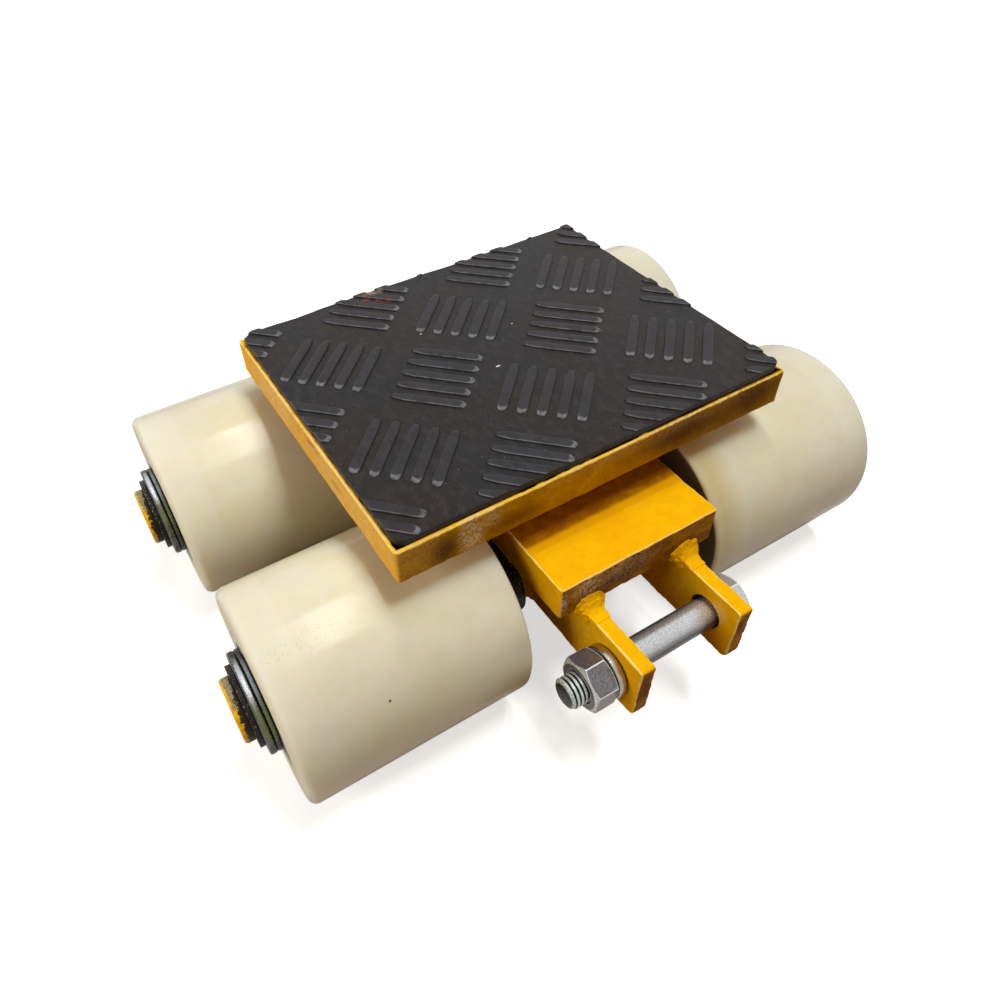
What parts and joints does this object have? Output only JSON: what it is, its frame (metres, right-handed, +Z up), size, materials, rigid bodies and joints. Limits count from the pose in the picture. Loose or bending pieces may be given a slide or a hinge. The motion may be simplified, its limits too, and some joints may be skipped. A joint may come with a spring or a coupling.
{
  "type": "moving dolly",
  "caption": "Low moving dolly: wide nylon rollers on fixed axles, a swivelling load plate with a ribbed rubber mat, and a tow clevis with its bolt at the front.",
  "frame": {"origin": "on the floor, under the middle of the skate's overall length and width", "axes": "+X along the roller axles, -Y towards the tow clevis, +Z up from the floor"},
  "size_m": [0.2938, 0.2301, 0.1136],
  "materials": {
    "yellow_paint": "satin paint, worn at the edges",
    "black_rubber": "matte",
    "ivory_nylon": "satin",
    "zinc_plated_steel": "zinc plated",
    "bare_steel": "ground",
    "dark_steel": "blackened, greasy"
  },
  "bodies": {
    "chassis": {"beam": "yellow_paint", "left_side_plate": "yellow_paint", "right_side_plate": "yellow_paint", "front_axle": "yellow_paint", "rear_axle": "yellow_paint", "axle_welds": "yellow_paint", "side_plate_welds": "yellow_paint", "ear_welds": "yellow_paint", "lower_thrust_race": "bare_steel", "bearing_inner_rings": "bare_steel", "bearing_spacer_tubes": "bare_steel", "axle_collars": "bare_steel", "inner_washers": "zinc_plated_steel", "outer_washers": "zinc_plated_steel", "axle_circlips": "dark_steel"},
    "swivel_plate": {"load_plate": "yellow_paint", "rubber_mat": "black_rubber", "upper_thrust_race": "bare_steel", "king_pin": "bare_steel", "king_pin_washer": "zinc_plated_steel", "king_pin_nut": "zinc_plated_steel", "king_pin_split_pin": "zinc_plated_steel"},
    "thrust_bearing_balls": {"thrust_balls": "bare_steel", "thrust_ball_cage": "bare_steel"},
    "front_left_roller": {"front_left_roller": "ivory_nylon", "front_left_bearing_outer_rings": "bare_steel", "front_left_bearing_shields": "zinc_plated_steel"},
    "front_left_bearing_balls": {"front_left_bearing_balls": "bare_steel", "front_left_ball_cages": "bare_steel"},
    "front_right_roller": {"front_right_roller": "ivory_nylon", "front_right_bearing_outer_rings": "bare_steel", "front_right_bearing_shields": "zinc_plated_steel"},
    "front_right_bearing_balls": {"front_right_bearing_balls": "bare_steel", "front_right_ball_cages": "bare_steel"},
    "rear_left_roller": {"rear_left_roller": "ivory_nylon", "rear_left_bearing_outer_rings": "bare_steel", "rear_left_bearing_shields": "zinc_plated_steel"},
    "rear_left_bearing_balls": {"rear_left_bearing_balls": "bare_steel", "rear_left_ball_cages": "bare_steel"},
    "rear_right_roller": {"rear_right_roller": "ivory_nylon", "rear_right_bearing_outer_rings": "bare_steel", "rear_right_bearing_shields": "zinc_plated_steel"},
    "rear_right_bearing_balls": {"rear_right_bearing_balls": "bare_steel", "rear_right_ball_cages": "bare_steel"},
    "clevis_bolt": {"clevis_bolt": "zinc_plated_steel", "clevis_nut": "zinc_plated_steel", "clevis_spring_washer": "zinc_plated_steel"}
  },
  "joints": [
    {"name": "swivel", "type": "hinge", "parent": "chassis", "child": "swivel_plate", "pos_m": [0, 0.00955, 0.088], "axis": [0, 0, 1], "continuous": true},
    {"name": "thrust_cage_turn", "type": "hinge", "parent": "chassis", "child": "thrust_bearing_balls", "pos_m": [0, 0.00955, 0.088], "axis": [0, 0, 1], "continuous": true},
    {"name": "front_left_roller_spin", "type": "hinge", "parent": "chassis", "child": "front_left_roller", "pos_m": [-0.0903, -0.03945, 0.0425], "axis": [1, 0, 0], "continuous": true},
    {"name": "front_left_cage_turn", "type": "hinge", "parent": "chassis", "child": "front_left_bearing_balls", "pos_m": [-0.0903, -0.03945, 0.0425], "axis": [1, 0, 0], "continuous": true},
    {"name": "front_right_roller_spin", "type": "hinge", "parent": "chassis", "child": "front_right_roller", "pos_m": [0.0903, -0.03945, 0.0425], "axis": [1, 0, 0], "continuous": true},
    {"name": "front_right_cage_turn", "type": "hinge", "parent": "chassis", "child": "front_right_bearing_balls", "pos_m": [0.0903, -0.03945, 0.0425], "axis": [1, 0, 0], "continuous": true},
    {"name": "rear_left_roller_spin", "type": "hinge", "parent": "chassis", "child": "rear_left_roller", "pos_m": [-0.0903, 0.07255, 0.0425], "axis": [1, 0, 0], "continuous": true},
    {"name": "rear_left_cage_turn", "type": "hinge", "parent": "chassis", "child": "rear_left_bearing_balls", "pos_m": [-0.0903, 0.07255, 0.0425], "axis": [1, 0, 0], "continuous": true},
    {"name": "rear_right_roller_spin", "type": "hinge", "parent": "chassis", "child": "rear_right_roller", "pos_m": [0.0903, 0.07255, 0.0425], "axis": [1, 0, 0], "continuous": true},
    {"name": "rear_right_cage_turn", "type": "hinge", "parent": "chassis", "child": "rear_right_bearing_balls", "pos_m": [0.0903, 0.07255, 0.0425], "axis": [1, 0, 0], "continuous": true},
    {"name": "clevis_bolt_turn", "type": "hinge", "parent": "chassis", "child": "clevis_bolt", "pos_m": [0, -0.10045, 0.0504], "axis": [1, 0, 0], "continuous": true}
  ],
  "couplings": [
    {"joint": "thrust_cage_turn", "follows": "swivel", "ratio": 0.5},
    {"joint": "front_left_cage_turn", "follows": "front_left_roller_spin", "ratio": 0.60312},
    {"joint": "front_right_cage_turn", "follows": "front_right_roller_spin", "ratio": 0.60312},
    {"joint": "rear_left_cage_turn", "follows": "rear_left_roller_spin", "ratio": 0.60312},
    {"joint": "rear_right_cage_turn", "follows": "rear_right_roller_spin", "ratio": 0.60312}
  ]
}
